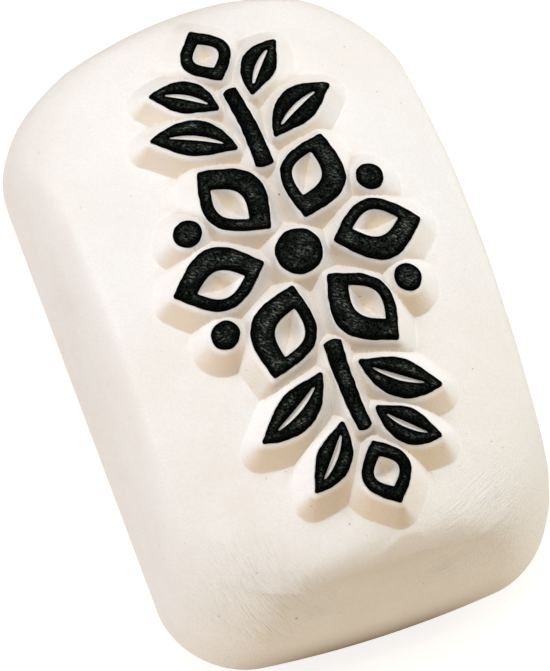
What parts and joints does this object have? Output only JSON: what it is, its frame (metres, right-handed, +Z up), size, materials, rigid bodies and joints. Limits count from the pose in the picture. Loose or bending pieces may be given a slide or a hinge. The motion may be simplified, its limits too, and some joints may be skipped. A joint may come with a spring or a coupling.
{
  "type": "temporary tattoo stamp",
  "caption": "Domed ceramic block with a raised rosette and leaf sprigs on its crown, each raised land faced with a black flock ink pad; presses a temporary tattoo on to skin.",
  "frame": {"origin": "middle of the flat underside", "axes": "+Z up through the crown, +Y along the length of the block, +X across it; the end with the proud foot and its crease faces -Y"},
  "size_m": [0.0426, 0.066, 0.0356],
  "materials": {
    "stone": "matte cream-white bisque with fine pores, specks and sanding marks",
    "flock": "dense black flock with a mottled pile and a rounded edge"
  },
  "bodies": {
    "root": {"pad_bud_back": "flock", "pad_bud_front": "flock", "pad_eye": "flock", "pad_leaf_back_1": "flock", "pad_leaf_back_2": "flock", "pad_leaf_back_3": "flock", "pad_leaf_back_4": "flock", "pad_leaf_front_1": "flock", "pad_leaf_front_2": "flock", "pad_leaf_front_3": "flock", "pad_leaf_front_4": "flock", "pad_petal_1": "flock", "pad_petal_2": "flock", "pad_petal_3": "flock", "pad_petal_4": "flock", "pad_petal_5": "flock", "pad_petal_6": "flock", "pad_seed_1": "flock", "pad_seed_2": "flock", "pad_seed_3": "flock", "pad_seed_4": "flock", "pad_stem_back": "flock", "pad_stem_front": "flock", "stone_block": "stone"}
  },
  "joints": []
}
